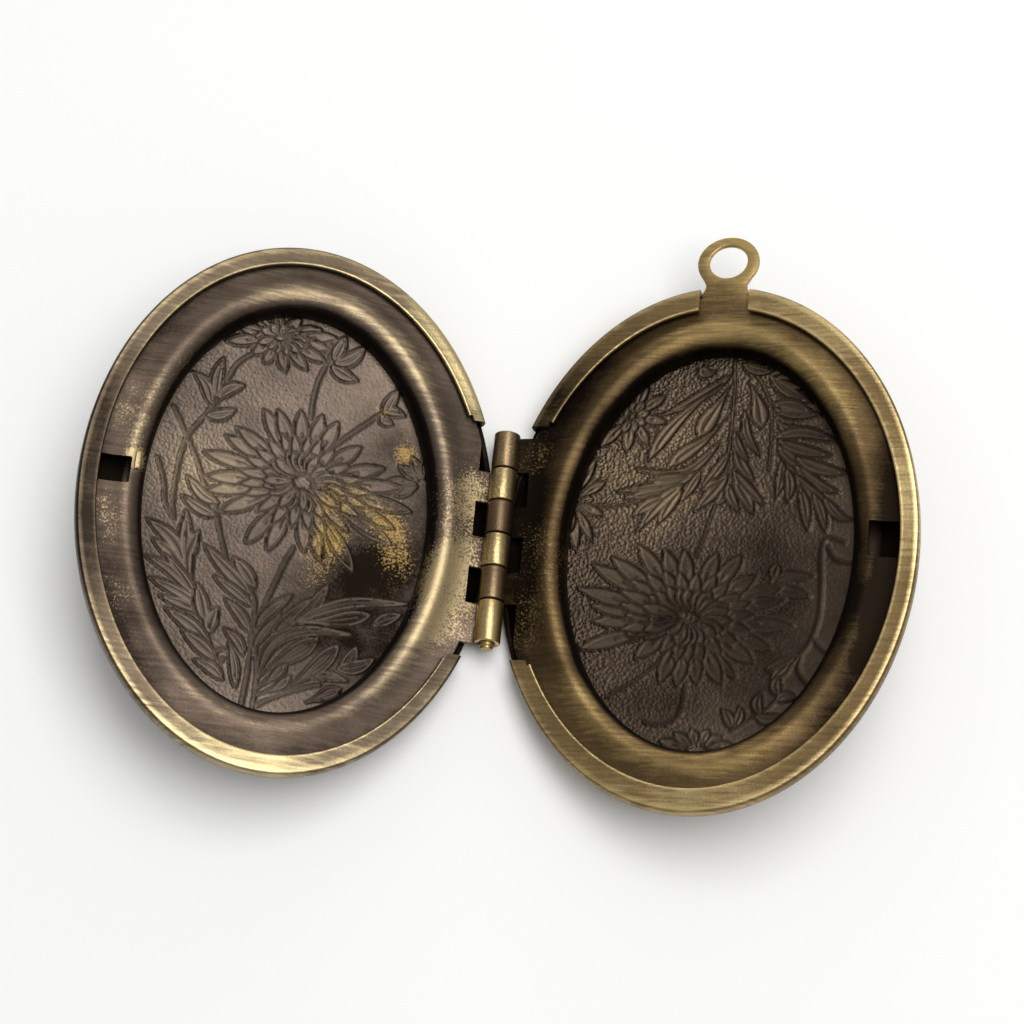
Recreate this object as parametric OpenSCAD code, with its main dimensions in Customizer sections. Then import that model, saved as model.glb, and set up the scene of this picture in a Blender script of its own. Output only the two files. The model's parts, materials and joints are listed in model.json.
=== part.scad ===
// Oval locket lying open on its two domed halves, inside up.
// Each half is a pressed outer shell with a rolled-in lip, and an inner plate
// with a turned-down picture opening. The plates' tabs roll round one hinge pin.
// Millimetres, +Z up, Y along the hinge with the bail at +Y, the back half at +X.

/* [Oval body] */
// Length of the oval body, along the hinge
oval_length = 40; // [36:0.5:44]
// Width of the oval body, across the hinge
oval_width = 30.2; // [28:0.1:32]
// Thickness of the shells' brass sheet
shell_sheet = 0.35; // [0.3:0.05:0.4]
// Straight height of the side wall below the split plane
side_height = 0.9; // [0.8:0.05:1.1]
// Radius of the shoulder between the side wall and the dome
shoulder_r = 3.5; // [3:0.1:4]
// Slope of the shoulder where it meets the side wall, in degrees
shoulder_slope = 55; // [50:1:60]
// Slope at the edge of the dome, in degrees
dome_slope = 6; // [4:0.5:8]

/* [Lip] */
// Width of the front shell's lip
front_lip = 1.45; // [1.2:0.05:2]
// Width of the back shell's lip
back_lip = 1.8; // [1.2:0.05:2]
// Outer rounding of the rim
rim_round = 0.3; // [0.2:0.05:0.35]
// Depth of the lip's face below the split plane
lip_gap = 0.05; // [0.05:0.01:0.1]
// Distance from the middle of the hinge side to each cut end of the lip
lip_end = 9.05; // [8.7:0.05:9.5]

/* [Inner plates] */
// Thickness of the plates' brass sheet
plate_sheet = 0.35; // [0.3:0.05:0.35]
// Depth of the plates' flat face below the split plane
plate_depth = 0.58; // [0.58:0.01:0.65]
// Distance of the plates' edge inside the oval outline
plate_inset = 0.52; // [0.5:0.01:0.6]
// Width of the picture opening
picture_width = 20.7; // [20:0.1:21]
// Length of the picture opening
picture_length = 30.4; // [30:0.1:31]
// Outer radius of the bead that turns down into the opening
bead_r = 1.4; // [1.2:0.1:1.5]
// Height of the bead above the plates' flat face
bead_rise = 0.38; // [0.2:0.01:0.4]
// Depth of the turned-down edge below the split plane
wall_depth = 2.15; // [2:0.01:2.18]

/* [Hinge] */
// Opening angle between the halves as they lie, in degrees
open_angle = 148; // [140:1:160]
// Outer diameter of the rolled knuckles
knuckle_d = 1.9; // [1.9:0.05:2]
// Diameter of the hole in the knuckles
knuckle_bore = 1.14; // [1.1:0.01:1.16]
// Diameter of the hinge pin
pin_d = 1.06; // [1:0.01:1.08]
// Distance from the hinge axis to the nearest point of the oval outline
hinge_offset = 0.05; // [0.05:0.01:0.2]
// Distance from the hinge axis to the plates' straight edge
plate_edge = 1.75; // [1.6:0.05:1.9]
// Gap between neighbouring knuckles
knuckle_gap = 0.12; // [0.06:0.01:0.12]
// How far the pin stands out below the last knuckle
pin_stub = 0.45; // [0.2:0.05:0.6]

/* [Bail] */
// Outer diameter of the bail ring
bail_d = 4.5; // [4.4:0.1:5]
// Diameter of the bail's hole
bail_hole = 2.8; // [2.6:0.1:3]
// Width of the bail's neck
bail_neck = 3.1; // [2.8:0.1:3.2]
// Bend of the bail down from the plate, in degrees
bail_bend = 5; // [0:1:20]
// Gap in the back shell's lip for the bail
bail_gap = 3.7; // [3.5:0.1:4]

/* [Ornament] */
// Height of the raised flowers and leaves above the floor
relief_rise = 0.12; // [0.08:0.01:0.2]
// Width of the raised stems
stem_width = 0.4; // [0.3:0.05:0.6]

/* [Catch] */
// Length of the front plate's catch slot
front_slot = 2; // [1.5:0.1:3]
// Length of the back plate's catch slot
back_slot = 2.7; // [1.5:0.1:3]
// Distance from the hinge axis to the catch slots
slot_edge = 26.7; // [26.5:0.1:27]
// Width of the catch slots, running out under the lip
slot_width = 2.5; // [2.2:0.1:2.6]
// Length of the small upright tongue at the front slot
tongue_length = 1.6; // [1:0.1:2]

/* [Hidden] */
$fn = 128;

tilt = (180 - open_angle) / 2;
semi_l = oval_length / 2;
semi_w = oval_width / 2;
centre_u = semi_w + hinge_offset;

// shoulder and dome arcs of the shell's section, which meet with one tangent
shoulder_x = semi_l - shoulder_r * sin(shoulder_slope);
shoulder_z = shoulder_r * cos(shoulder_slope) - side_height;
dome_x = shoulder_x + shoulder_r * sin(dome_slope);
dome_r = dome_x / sin(dome_slope);
dome_z = shoulder_z + (dome_r - shoulder_r) * cos(dome_slope);
shell_depth = dome_r - dome_z;

// bead of the plates' section
bead_x = picture_length / 2 + bead_r;
bead_z = bead_rise - plate_depth - bead_r;
bead_squeeze = picture_width / picture_length;
plate_floor = -plate_depth - plate_sheet;

// hinge, from the bail end down: knuckles belong to the back and front in turn
knuckle_ends = [8.4, 5.5, 2.95, 0.4, -2.15, -4.7, -7.9];
plate_clear = 0.12;
wall_top = plate_floor - plate_clear;
wall_cut = 5;
knuckle_seam = 0.1;
tab_overlap = 0.2;

// upright tongue at the front slot, ending just below the split plane
tongue_sheet = 0.3;
tongue_rise = -plate_floor - plate_clear;

// how far cutting shapes run past what they cut
past = 1;

// bail, drawn from its bend line on the plate's top face
bail_u = centre_u + 0.25;
bail_line = 19.85;
bail_reach = 2.58;
bail_root = 1.2;
bail_overlap = 0.1;
bail_tip = bail_line + (bail_reach + bail_d / 2) * cos(bail_bend);

// Ornament of each floor, seen from inside with the bail end up. Places are from
// the oval's centre: across towards the right of the open locket, then up.
// flower: across, up, then rings of petals as [count, first angle, inner radius, length, width]
FRONT_FLOWERS = [
    [1, 2.5, [[11, 8, 1.4, 1.9, 0.8], [17, 0, 3.5, 2.6, 0.95]]],
    [-2.3, 12.9, [[9, 180, 0.8, 1.7, 0.6]]]
];
BACK_FLOWERS = [
    [-1.2, -4.6, [[11, 0, 1.3, 1.8, 0.8], [16, 6, 3.3, 2.6, 0.95]]],
    [-5.6, 11, [[8, 170, 0.7, 1.6, 0.6]]]
];
// stem: the points that it runs through
FRONT_STEMS = [
    [[-4.6, 11.4], [-5.7, 9.6], [-6.3, 7.2], [-7.7, 4.7], [-8.2, 2], [-8.1, -1.6]],
    [[-7.1, 3.6], [-6.2, 1.3], [-5, -1], [-4.3, -3]],
    [[1.1, 9.2], [1.3, 10.6], [1.7, 12.5]],
    [[4.9, 7.9], [6.4, 9.6]],
    [[0.2, -4.2], [-0.4, -6.2], [-0.9, -9], [-1.1, -13.5]]
];
BACK_STEMS = [
    [[1.3, 13.6], [1.1, 10.5], [0.5, 6.5], [0, 3.2]],
    [[8.3, -1], [8.2, -4.2], [7.3, -7.2], [5, -9.8], [2.6, -12]],
    [[-1, -11.3], [-1.3, -13.2]],
    [[-5.1, -9], [-6.6, -10.6]]
];
// leaf: across, up, angle, length, width
FRONT_LEAVES = [
    [-5.4, 8.2, 60, 2.4, 0.8], [-6.9, 8.1, 120, 2.2, 0.8], [2.3, 12.3, 20, 1.8, 0.8],
    [-5.8, 1.6, 150, 1.8, 0.7], [-4.7, -0.6, 165, 2.2, 0.8], [-7.6, -2.2, 280, 2.6, 1],
    [-6.4, -4.6, 285, 2.6, 1], [-4.6, -4.2, 310, 2.8, 0.8], [-5.6, -8, 300, 2.6, 1],
    [-3.3, -7.3, 280, 2.4, 0.8], [-4.2, -10.6, 300, 2.4, 0.9], [0.3, -7.6, 55, 3, 0.8],
    [0.4, -10.2, 40, 4.2, 0.9], [0.3, -12.6, 45, 3.4, 0.8], [2.9, -8.1, 28, 3.4, 0.7],
    [2.9, -12, 40, 3, 0.8], [-9.3, 1.4, 260, 2.6, 0.7], [6.5, 3.9, 35, 2.4, 0.7]
];
BACK_LEAVES = [
    [0.1, 12.8, 215, 4.6, 0.7], [0, 11, 238, 4.6, 0.9], [0, 8, 218, 4.6, 0.8],
    [-0.6, 6.2, 185, 5, 0.7], [2.1, 12.6, 285, 4.2, 0.8], [4, 13.2, 330, 2.6, 0.7],
    [4.2, 10.8, 310, 3.4, 0.9], [1.7, 8.3, 290, 3.2, 0.8], [4.6, 7.4, 285, 3.4, 0.9],
    [7, 8.4, 300, 3.4, 0.8], [1.1, 5.4, 300, 3, 0.8], [-2.2, 5.2, 225, 3.6, 0.8],
    [-8.6, 4.2, 20, 1.7, 0.6], [-8.7, 3.6, 330, 2.1, 0.6], [-9.2, 3, 290, 2.4, 0.6],
    [5.4, -9, 20, 2.2, 0.7], [1.4, -12.6, 120, 1.8, 0.6], [6.4, 4.4, 290, 3, 0.7]
];

// the point of the dome that rests on the surface, and the frame's shift
rest_slope = atan(semi_w / semi_l * tan(tilt));
rest_u = centre_u - semi_w / semi_l * (shoulder_x + shoulder_r * sin(rest_slope));
rest_w = shoulder_z - shoulder_r * cos(rest_slope);
hinge_z = -rest_u * sin(tilt) - rest_w * cos(tilt);
middle_y = (bail_tip - semi_l) / 2;

// side view of a bowl's right half: dome, shoulder, and wall up to top
module bowl_section(inset, top) {
    reach = semi_l - inset;
    bottom = -shell_depth - past;
    break_x = shoulder_x + (shoulder_r - inset) * sin(dome_slope);
    wall_start = shoulder_z - sqrt(pow(shoulder_r - inset, 2) - pow(reach - shoulder_x, 2));
    intersection() {
        translate([0, dome_z]) circle(r = dome_r - inset, $fn = 1440);
        translate([0, bottom]) square([break_x, top - bottom]);
    }
    intersection() {
        translate([shoulder_x, shoulder_z]) circle(r = shoulder_r - inset);
        translate([break_x, bottom]) square([reach - break_x, wall_start - bottom]);
    }
    translate([break_x, wall_start]) square([reach - break_x, top - wall_start]);
}

// a section turned about the upright in quarters, each narrowed to the oval's half sizes
module oval_turned(half_w, half_l) {
    for (turn = [0:90:270])
        scale([half_w / half_l, 1, 1]) rotate([0, 0, turn]) rotate_extrude(angle = 90) children();
}

module oval_prism(half_w, half_l, low, high) {
    oval_turned(half_w, half_l) translate([0, low]) square([half_l, high - low]);
}

module outer_bowl() {
    oval_turned(semi_w, semi_l) {
        bowl_section(0, -lip_gap - rim_round);
        translate([0, -lip_gap - rim_round]) square([semi_l - rim_round, rim_round]);
        intersection() {
            translate([semi_l - rim_round, -lip_gap - rim_round]) circle(r = rim_round);
            translate([semi_l - rim_round, -lip_gap - rim_round]) square(rim_round);
        }
    }
}

// pointed leaf or petal from the origin along X, widest at share of its length
module leaf(length, width, share) {
    steps = [0.25:0.25:0.75];
    bend = ln(0.5) / ln(share);
    function half(t) = width / 2 * sin(180 * pow(t, bend));
    polygon(concat([[0, 0]], [for (t = steps) [t * length, half(t)]], [[length, 0]],
        [for (t = steps) [(1 - t) * length, -half(1 - t)]]));
}

// flat ribbon through the points
module stem(points) {
    last = len(points) - 1;
    function across(i) =
        let (run = points[min(i + 1, last)] - points[max(i - 1, 0)])
        stem_width / 2 / norm(run) * [-run.y, run.x];
    polygon(concat([for (i = [0:last]) points[i] + across(i)],
        [for (i = [last:-1:0]) points[i] - across(i)]));
}

module ornament(flowers, stems, leaves) {
    for (f = flowers, ring = f[2], i = [0:ring[0] - 1])
        translate([f[0], f[1]]) rotate(ring[1] + i * 360 / ring[0])
            translate([ring[2], 0]) leaf(ring[3], ring[4], 0.6);
    for (points = stems) stem(points);
    for (l = leaves) translate([l[0], l[1]]) rotate(l[2]) leaf(l[3], l[4], 0.45);
}

// the pattern's solids, sunk a little into the floor and following its dome
module relief() {
    sunk = shell_sheet / 4;
    floor_r = dome_r - shell_sheet;
    translate([centre_u, 0, 0]) intersection() {
        translate([0, 0, -shell_depth]) linear_extrude(shell_depth) intersection() {
            children();
            scale([bead_squeeze, 1]) circle(r = picture_length / 2 - plate_clear);
        }
        oval_turned(semi_w - shell_sheet, semi_l - shell_sheet) intersection() {
            difference() {
                translate([0, dome_z]) circle(r = floor_r + sunk, $fn = 1440);
                translate([0, dome_z]) circle(r = floor_r - relief_rise, $fn = 1440);
            }
            translate([0, -shell_depth]) square([picture_length / 2, shell_depth]);
        }
    }
}

// one pressed half: hinge axis along Y through the origin, split plane at Z 0
module shell(lip) {
    difference() {
        translate([centre_u, 0, 0]) difference() {
            outer_bowl();
            oval_turned(semi_w - shell_sheet, semi_l - shell_sheet)
                bowl_section(shell_sheet, -lip_gap - shell_sheet);
            oval_prism(semi_w - lip, semi_l - lip, -past, past);
        }
        translate([-past, -lip_end, wall_top]) cube([wall_cut, 2 * lip_end, past - wall_top]);
    }
}

// the turned-down bead round the picture opening, as bent sheet
module bead_section() {
    intersection() {
        difference() {
            translate([bead_x, bead_z]) circle(r = bead_r);
            translate([bead_x, bead_z]) circle(r = bead_r - plate_sheet);
        }
        union() {
            translate([bead_x - 2 * bead_r, bead_z]) square([2 * bead_r, 2 * bead_r]);
            translate([bead_x, plate_floor]) square([2 * bead_r, 2 * bead_r]);
        }
    }
    translate([bead_x - bead_r, -wall_depth]) square([plate_sheet, wall_depth + bead_z]);
}

module plate(slot, first_knuckle) {
    flat_x = bead_x + sqrt(pow(bead_r - plate_sheet / 2, 2)
        - pow(-plate_depth - plate_sheet / 2 - bead_z, 2));
    difference() {
        union() {
            intersection() {
                translate([centre_u, 0, 0]) difference() {
                    oval_prism(semi_w - plate_inset, semi_l - plate_inset,
                        plate_floor, -plate_depth);
                    oval_prism(flat_x * bead_squeeze, flat_x, -shell_depth, past);
                }
                translate([plate_edge, -semi_l, -shell_depth])
                    cube([oval_width, oval_length, shell_depth + past]);
            }
            translate([centre_u, 0, 0]) oval_turned(bead_squeeze, 1) bead_section();
            for (i = [first_knuckle:2:5]) knuckle(knuckle_ends[i + 1], knuckle_ends[i]);
        }
        translate([slot_edge, -slot / 2, -shell_depth])
            cube([slot_width, slot, shell_depth + past]);
    }
}

// a tab rolled up and back round the pin, with the seam of the roll above the tab
module knuckle(low, high) {
    long = high - low - knuckle_gap;
    translate([0, low + knuckle_gap / 2, 0]) difference() {
        union() {
            rotate([-90, 0, 0]) cylinder(d = knuckle_d, h = long);
            translate([0, 0, plate_floor]) cube([plate_edge + tab_overlap, long, plate_sheet]);
        }
        translate([0, -past, 0]) rotate([-90, 0, 0])
            cylinder(d = knuckle_bore, h = long + 2 * past);
        translate([pin_d / 8, -past, -plate_depth])
            cube([knuckle_d / 2, long + 2 * past, knuckle_seam]);
    }
}

module bail() {
    translate([bail_u - bail_neck / 2, bail_line - bail_root, plate_floor])
        cube([bail_neck, bail_root, plate_sheet]);
    translate([bail_u, bail_line, -plate_depth]) rotate([-bail_bend, 0, 0]) difference() {
        translate([0, 0, -plate_sheet]) linear_extrude(plate_sheet) {
            translate([0, bail_reach]) circle(d = bail_d);
            translate([-bail_neck / 2, -bail_overlap]) square([bail_neck, bail_reach]);
        }
        translate([0, bail_reach, -past]) cylinder(d = bail_hole, h = 2 * past);
    }
}

module lay_back() {
    translate([0, -middle_y, hinge_z]) rotate([0, -tilt, 0]) children();
}

module lay_front() {
    translate([0, -middle_y, hinge_z]) rotate([0, tilt, 0]) mirror([1, 0, 0]) children();
}

module back_shell() {
    color("#8a7a50") lay_back() union() {
        difference() {
            shell(back_lip);
            translate([bail_u - bail_gap / 2, semi_l - shoulder_r, wall_top])
                cube([bail_gap, shoulder_r + past, past - wall_top]);
        }
        relief() ornament(BACK_FLOWERS, BACK_STEMS, BACK_LEAVES);
    }
}

module back_plate() {
    color("#6e5f42") lay_back() union() {
        plate(back_slot, 0);
        bail();
    }
}

module front_shell() {
    color("#9a8a5c") lay_front() union() {
        shell(front_lip);
        relief() mirror([1, 0]) ornament(FRONT_FLOWERS, FRONT_STEMS, FRONT_LEAVES);
    }
}

module front_plate() {
    color("#7d7258") lay_front() union() {
        plate(front_slot, 1);
        translate([slot_edge - tongue_sheet, 0, plate_floor])
            cube([tongue_sheet, tongue_length, tongue_rise]);
    }
}

module hinge_pin() {
    low = knuckle_ends[6] - pin_stub;
    color("#a08c50") translate([0, low - middle_y, hinge_z]) rotate([-90, 0, 0])
        cylinder(d = pin_d, h = knuckle_ends[0] - low);
}

back_shell();
back_plate();
front_shell();
front_plate();
hinge_pin();
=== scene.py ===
import json
import math
import bpy
import numpy as np
from mathutils import Matrix, Vector


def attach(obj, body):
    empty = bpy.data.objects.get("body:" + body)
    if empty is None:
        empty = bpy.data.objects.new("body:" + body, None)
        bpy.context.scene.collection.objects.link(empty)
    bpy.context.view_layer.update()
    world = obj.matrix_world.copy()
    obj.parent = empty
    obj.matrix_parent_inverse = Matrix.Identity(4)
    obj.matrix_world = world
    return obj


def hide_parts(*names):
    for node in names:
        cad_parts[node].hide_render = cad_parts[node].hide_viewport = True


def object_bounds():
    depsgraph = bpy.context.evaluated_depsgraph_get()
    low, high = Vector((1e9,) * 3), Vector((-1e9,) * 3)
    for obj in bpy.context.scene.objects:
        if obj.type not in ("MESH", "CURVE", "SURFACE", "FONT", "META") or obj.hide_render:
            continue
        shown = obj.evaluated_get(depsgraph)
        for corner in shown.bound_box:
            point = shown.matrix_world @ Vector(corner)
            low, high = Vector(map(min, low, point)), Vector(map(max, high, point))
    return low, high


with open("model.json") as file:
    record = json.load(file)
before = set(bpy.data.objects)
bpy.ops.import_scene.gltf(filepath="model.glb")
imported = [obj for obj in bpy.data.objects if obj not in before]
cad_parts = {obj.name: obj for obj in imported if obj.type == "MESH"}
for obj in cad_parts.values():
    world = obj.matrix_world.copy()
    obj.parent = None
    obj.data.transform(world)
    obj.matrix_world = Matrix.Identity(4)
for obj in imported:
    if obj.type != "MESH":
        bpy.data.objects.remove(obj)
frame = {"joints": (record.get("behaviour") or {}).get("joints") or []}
cad_box = [list(corner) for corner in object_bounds()]

# Back shell
# The outer half with the bail side's gap: one blank of 0.35 mm brass, stamped with
# flowers, drawn into a dome, and its edge rolled in to a flat lip.

# Worked in millimetres: U away from the hinge, Y along it to the bail, W up, with the
# hinge axis at zero and the split between the halves at W 0. R is the distance from the
# oval's centre along its length, before the round shape is narrowed to an oval.
HINGE = Vector(frame["joints"][0]["pos_m"])
TILT = math.radians(16)
LONG, WIDE, CENTRE = 20, 15.1, 15.15
SHEET = 0.35
LIP_FACE = -0.05
RIM = 0.3
# The shoulder's arc turns from the wall's slope to the dome's, in degrees, and the dome's
# arc goes on with the same tangent.
SHOULDER, SHOULDER_START = 3.5, -0.9
WALL_SLOPE, DOME_SLOPE = 55, 6
SHOULDER_R = LONG - SHOULDER * math.sin(math.radians(WALL_SLOPE))
SHOULDER_W = SHOULDER * math.cos(math.radians(WALL_SLOPE)) + SHOULDER_START
meeting = math.radians(DOME_SLOPE)
DOME = (SHOULDER_R + SHOULDER * math.sin(meeting)) / math.sin(meeting)
DOME_W = SHOULDER_W + (DOME - SHOULDER) * math.cos(meeting)
# The discs that carry the stamping, on the floor and outside. They lie below DEEP.
FLOOR_R, BACK_R = 15.7, 17
FLOOR_CELLS = {"x_subdivisions": 46, "y_subdivisions": 62}
DEEP = -2
# What is cut out of the lip and wall: half the length at the hinge, the bail's place
# along U and half the width there, how far down the cuts go, and the corners' nips.
HINGE_CUT, BAIL_U, BAIL_CUT = 9.05, CENTRE + 0.25, 1.83
CUT_DOWN = -1.05
NIP = 0.3


def clear():
    """Leaves edit mode, with nothing selected."""
    if bpy.context.mode != "OBJECT":
        bpy.ops.object.mode_set(mode="OBJECT")
    bpy.ops.object.select_all(action="DESELECT")


def choose(piece):
    """Selects one piece alone."""
    clear()
    piece.select_set(True)
    bpy.context.view_layer.objects.active = piece


def edit(piece, mode="VERT"):
    """Opens one piece in edit mode, with nothing selected on it."""
    choose(piece)
    bpy.ops.object.mode_set(mode="EDIT")
    bpy.ops.mesh.select_mode(type=mode)
    bpy.ops.mesh.select_all(action="DESELECT")


def pick(piece, parts, test):
    """Selects in edit mode the vertices or faces that pass a test of their place."""
    bpy.ops.object.mode_set(mode="OBJECT")
    for part in getattr(piece.data, parts):
        part.select = bool(test(part))
    bpy.ops.object.mode_set(mode="EDIT")


def apply(piece, kind, **settings):
    """Gives a piece a modifier and applies it."""
    choose(piece)
    modifier = piece.modifiers.new(kind.lower(), kind)
    for name, value in settings.items():
        setattr(modifier, name, value)
    bpy.ops.object.modifier_apply(modifier=modifier.name)


def cut(piece, low, high, round_off=0.0, turned=0.0):
    """Cuts a box out of a piece, rounded off at its edges or turned by degrees about W."""
    clear()
    middle = [(a + b) / 2 for a, b in zip(low, high)]
    size = [b - a for a, b in zip(low, high)]
    bpy.ops.mesh.primitive_cube_add(size=1, location=middle, scale=size,
        rotation=(0, 0, math.radians(turned)))
    tool = bpy.context.object
    if round_off:
        bpy.ops.object.transform_apply(location=False, rotation=False, scale=True)
        apply(tool, "BEVEL", width=round_off, segments=4, limit_method="NONE")
    apply(piece, "BOOLEAN", object=tool, operation="DIFFERENCE", solver="EXACT")
    bpy.data.objects.remove(tool)


def lay(piece, half):
    """Lays a worked piece in its half of the open locket, in metres, the front one mirrored."""
    place = Matrix.Translation(HINGE)
    if half == "front_half":
        place = place @ Matrix.Scale(-1, 4, (1, 0, 0))
    piece.data.transform(place @ Matrix.Rotation(-TILT, 4, "Y") @ Matrix.Scale(0.001, 4))
    if half == "front_half":
        piece.data.flip_normals()
    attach(piece, half)


def dome_at(r, inset):
    """Height of the dome's face at R, inset into the sheet, and level past its edge."""
    r = np.asarray(r, float)
    edge = SHOULDER_R + (SHOULDER - inset) * math.sin(math.radians(DOME_SLOPE))
    return DOME_W - np.sqrt((DOME - inset) ** 2 - np.minimum(r, edge) ** 2)


def shoulder_points(inset, first, last, count):
    """Points on the shoulder's arc, inset into the sheet, from one slope to another."""
    reach = SHOULDER - inset
    angles = np.radians(np.linspace(first, last, count))
    return [(SHOULDER_R + reach * math.sin(a), SHOULDER_W - reach * math.cos(a)) for a in angles]


def disc(piece, radius, inset):
    """Turns the selected square grid into a disc lying on the dome's face."""
    bpy.ops.object.mode_set(mode="OBJECT")
    for v in piece.data.vertices:
        if v.select:
            x, y = v.co.x, v.co.y
            v.co.x = radius * x * math.sqrt(1 - y * y / 2)
            v.co.y = radius * y * math.sqrt(1 - x * x / 2)
            v.co.z = float(dome_at(math.hypot(v.co.x, v.co.y), inset))
    bpy.ops.object.mode_set(mode="EDIT")


def press_shell(name, lip, wider, bail_gap):
    """One pressed half with a lip of this width, which is wider by some at its outer side."""
    clear()
    bpy.ops.mesh.primitive_grid_add(size=2, **FLOOR_CELLS)
    shell = bpy.context.object
    shell.name = shell.data.name = name
    edit(shell)
    bpy.ops.mesh.select_all(action="SELECT")
    disc(shell, FLOOR_R, SHEET)
    # Inside, from the floor over the shoulder to the wall.
    inner_edge = math.degrees(math.asin((LONG - SHEET - SHOULDER_R) / (SHOULDER - SHEET)))
    section = [(16.4, float(dome_at(16.4, SHEET)))]
    section += shoulder_points(SHEET, DOME_SLOPE, inner_edge, 8)
    # Up the wall, inwards under the lip, round its raised edge and out over its face.
    under = LIP_FACE - SHEET
    section += [(LONG - SHEET, -0.75), (LONG - SHEET, under - 0.15), (LONG - SHEET - 0.15, under)]
    inner = LONG - lip
    section += [(LONG - 0.8, under), (inner + 0.12, under), (inner, under + 0.1)]
    section += [(inner - 0.02, LIP_FACE - 0.16), (inner + 0.03, LIP_FACE - 0.05)]
    section += [(inner + 0.12, LIP_FACE), (inner + 0.22, LIP_FACE - 0.015)]
    section += [(inner + 0.4, LIP_FACE - 0.02), (LONG - RIM - 0.35, LIP_FACE - 0.02)]
    # Round the rim, then down the outside of the wall, the shoulder and the dome.
    for angle in (10, 30, 50, 70, 90):
        a = math.radians(angle)
        section.append((LONG - RIM + RIM * math.sin(a), LIP_FACE - RIM + RIM * math.cos(a)))
    section += [(LONG, -0.6)] + shoulder_points(0, WALL_SLOPE, DOME_SLOPE, 10)
    section.append((BACK_R, float(dome_at(BACK_R, 0))))
    edit(shell, "EDGE")
    bpy.ops.mesh.select_non_manifold()
    r0, w0 = FLOOR_R, float(dome_at(FLOOR_R, SHEET))
    for r, w in section:
        bpy.ops.mesh.extrude_region_move()
        bpy.ops.transform.resize(value=(r / r0, r / r0, 1), center_override=(0, 0, 0))
        bpy.ops.transform.translate(value=(0, 0, w - w0))
        r0, w0 = r, w
    bpy.ops.mesh.select_all(action="DESELECT")
    bpy.ops.mesh.primitive_grid_add(size=2, **FLOOR_CELLS)
    disc(shell, BACK_R, 0)
    bpy.ops.mesh.select_all(action="SELECT")
    bpy.ops.mesh.remove_doubles(threshold=0.001)
    bpy.ops.mesh.normals_make_consistent(inside=False)
    bpy.ops.object.mode_set(mode="OBJECT")
    # The lip reaches further in at the outer side, most of all a little towards the foot.
    for v in shell.data.vertices:
        r = math.hypot(v.co.x, v.co.y)
        if v.co.z > under - 0.01 and r < inner + 0.45:
            turn = math.degrees(math.atan2(v.co.y, v.co.x))
            share = 1 - wider / r * math.exp(-((turn + 10) / 45) ** 2)
            v.co.x, v.co.y = v.co.x * share, v.co.y * share
    edit(shell)
    bpy.ops.mesh.select_all(action="SELECT")
    bpy.ops.transform.resize(value=(WIDE / LONG, 1, 1), center_override=(0, 0, 0))
    bpy.ops.transform.translate(value=(CENTRE, 0, 0))
    clear()
    cut(shell, (-1, -HINGE_CUT, CUT_DOWN), (4, HINGE_CUT, 1))
    # The lip's inner corners are nipped off at the hinge.
    u = CENTRE - WIDE / LONG * math.sqrt((LONG - lip) ** 2 - HINGE_CUT ** 2)
    for side in (-1, 1):
        y = side * HINGE_CUT
        cut(shell, (u - NIP, y - NIP, CUT_DOWN), (u + NIP, y + NIP, 1), turned=45 + side * 20)
    if bail_gap:
        cut(shell, (BAIL_U - BAIL_CUT, 16.5, CUT_DOWN), (BAIL_U + BAIL_CUT, 21, 1))
    return shell


def refine(shell, facing, radius, cuts):
    """Divides the floor's faces finely enough to carry the stamping."""
    edit(shell, "FACE")

    def on_floor(face):
        x, y, z = face.center
        r = math.hypot((x - CENTRE) * LONG / WIDE, y)
        return r < radius - 0.02 and face.normal.z * facing > 0.9 and z < DEEP
    pick(shell, "polygons", on_floor)
    bpy.ops.mesh.subdivide(number_cuts=cuts)
    clear()


def smooth(points):
    """Rounds the corners of a drawn line, keeping its ends."""
    line = np.array(points, float).reshape(-1, 2)
    for _ in range(2):
        if len(line) > 2:
            cuts = [line[0]]
            for a, b in zip(line, line[1:]):
                cuts += [a * 0.75 + b * 0.25, a * 0.25 + b * 0.75]
            line = np.array(cuts + [line[-1]])
    return line


def along(line, spots):
    """Distance from each spot to a line, and how far along the line it lies, 0 to 1."""
    runs = np.linalg.norm(np.diff(line, axis=0), axis=1)
    gap = np.full(len(spots), 1e9)
    share = np.zeros(len(spots))
    done = 0
    for start, end, run in zip(line, line[1:], runs):
        way = (end - start) / run
        t = np.clip((spots - start) @ way, 0, run)
        d = np.linalg.norm(spots - start - t[:, None] * way, axis=1)
        near = d < gap
        gap[near] = d[near]
        share[near] = (done + t[near]) / runs.sum()
        done += run
    return gap, share


# Above 1 a figure is widest towards its tip, and below 1 towards its foot.
WIDEST = {"petal": 1.3, "leaf": 0.85, "bud": 2}
RAISED = {"petal": 0.1, "leaf": 0.06, "bud": 0.06, "stem": 0.05}


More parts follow.
